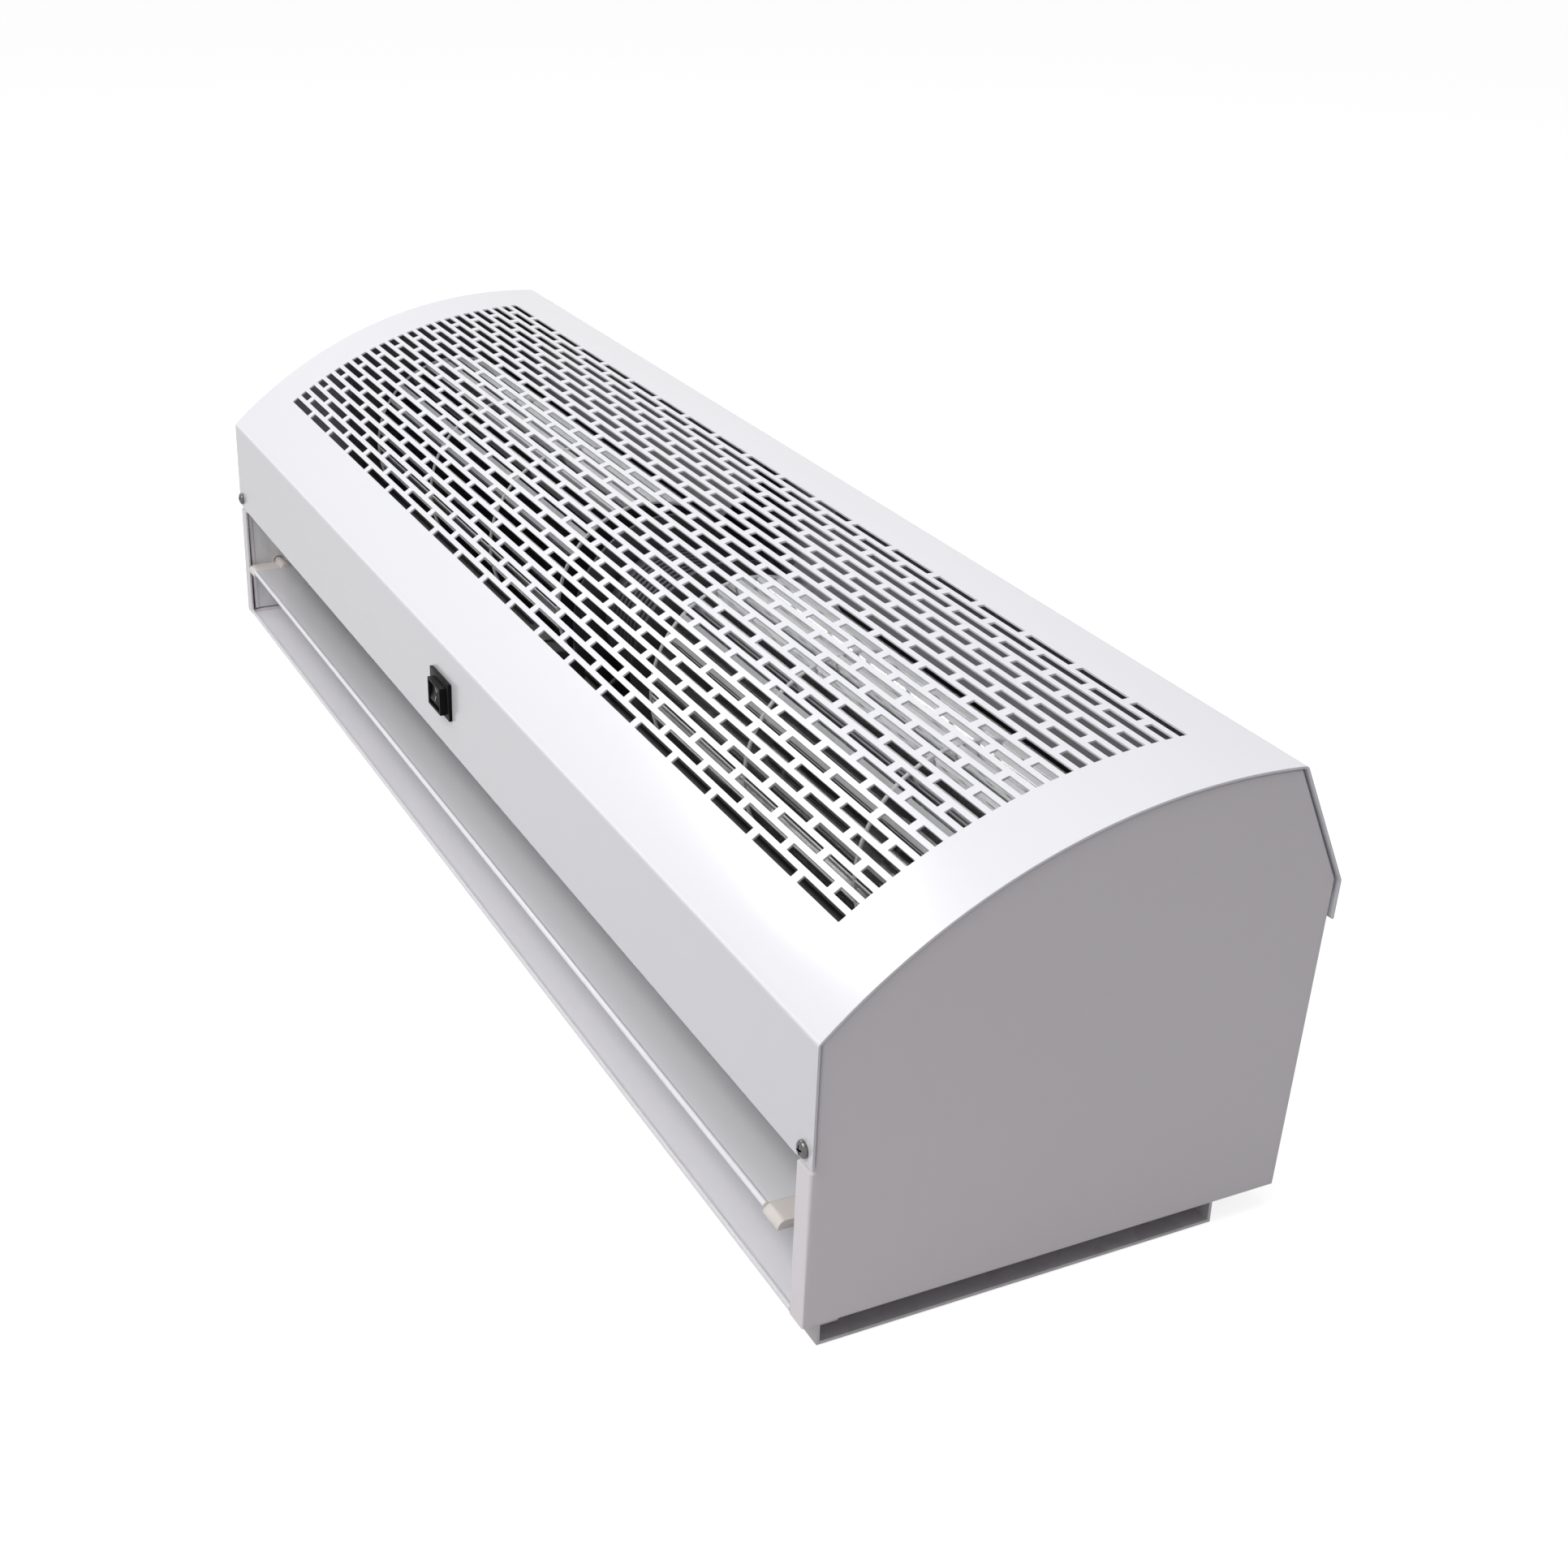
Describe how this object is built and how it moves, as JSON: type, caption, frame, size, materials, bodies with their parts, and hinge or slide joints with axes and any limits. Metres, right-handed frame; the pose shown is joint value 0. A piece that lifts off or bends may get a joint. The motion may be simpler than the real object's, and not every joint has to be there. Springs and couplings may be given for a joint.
{
  "type": "air curtain",
  "caption": "Door air curtain: white arched sheet-metal body with a slotted intake, cross-flow fan, long outlet with a pivoting vane, rocker switch and wall plate.",
  "frame": {"origin": "middle of the wall plate's mounting face", "axes": "+X along the unit, +Z away from the wall through the slotted intake, -Y the way the air leaves, which is down when the unit hangs over a door"},
  "size_m": [0.9, 0.2634, 0.2308],
  "materials": {
    "white_enamel": "gloss",
    "grey_enamel": "satin",
    "zinc": "satin",
    "chrome": "polished",
    "aluminium": "satin",
    "steel": "satin",
    "bronze": "satin",
    "rubber": "matte",
    "black_plastic": "gloss",
    "cream_plastic": "satin",
    "dark_plastic": "satin",
    "wire": "satin"
  },
  "bodies": {
    "housing": {"front_cover": "white_enamel", "base_pan": "grey_enamel", "rear_wall": "grey_enamel", "end_plate_left": "grey_enamel", "end_plate_right": "grey_enamel", "wall_plate": "zinc", "hanger_cleat": "zinc", "lock_rail": "zinc", "lock_screws": "chrome", "cover_screws": "chrome", "pan_rivets": "aluminium", "scroll_left": "zinc", "scroll_right": "zinc", "tongue_plate": "grey_enamel", "duct_cheek_left": "grey_enamel", "duct_cheek_right": "grey_enamel", "bearing_plate_left": "zinc", "bearing_plate_right": "zinc", "bearing_seat_left": "rubber", "bearing_seat_right": "rubber", "bearing_left": "bronze", "bearing_right": "bronze", "motor_housing": "aluminium", "motor_end_bell": "aluminium", "motor_damper_left": "rubber", "motor_damper_right": "rubber", "motor_bracket_left": "zinc", "motor_bracket_right": "zinc", "motor_tie_bolts": "steel", "bracket_screws": "chrome", "bay_panel": "zinc", "capacitor": "dark_plastic", "capacitor_clip": "zinc", "terminal_block": "dark_plastic", "wiring": "wire", "cable_grommet": "rubber", "switch_housing": "black_plastic", "switch_terminals": "bronze", "vane_pivot_left": "cream_plastic", "vane_pivot_right": "cream_plastic"},
    "fan": {"impeller_left": "aluminium", "impeller_right": "aluminium", "hub_left": "steel", "hub_right": "steel", "hub_screws": "steel", "stub_shaft_left": "steel", "stub_shaft_right": "steel", "motor_shaft": "steel", "motor_rotor": "steel"},
    "vane": {"vane_blade": "grey_enamel", "vane_cap_left": "cream_plastic", "vane_cap_right": "cream_plastic"},
    "rocker": {"switch_rocker": "black_plastic"}
  },
  "joints": [
    {"name": "fan_spin", "type": "hinge", "parent": "housing", "child": "fan", "pos_m": [0, 0.047, 0.133], "axis": [1, 0, 0], "continuous": true},
    {"name": "vane_tilt", "type": "hinge", "parent": "housing", "child": "vane", "pos_m": [0, -0.0865, 0.0495], "axis": [1, 0, 0], "range_deg": [-40, 40]},
    {"name": "switch_rock", "type": "hinge", "parent": "housing", "child": "rocker", "pos_m": [0, -0.10442, 0.1215], "axis": [1, 0, 0], "range_deg": [0, 14]}
  ]
}
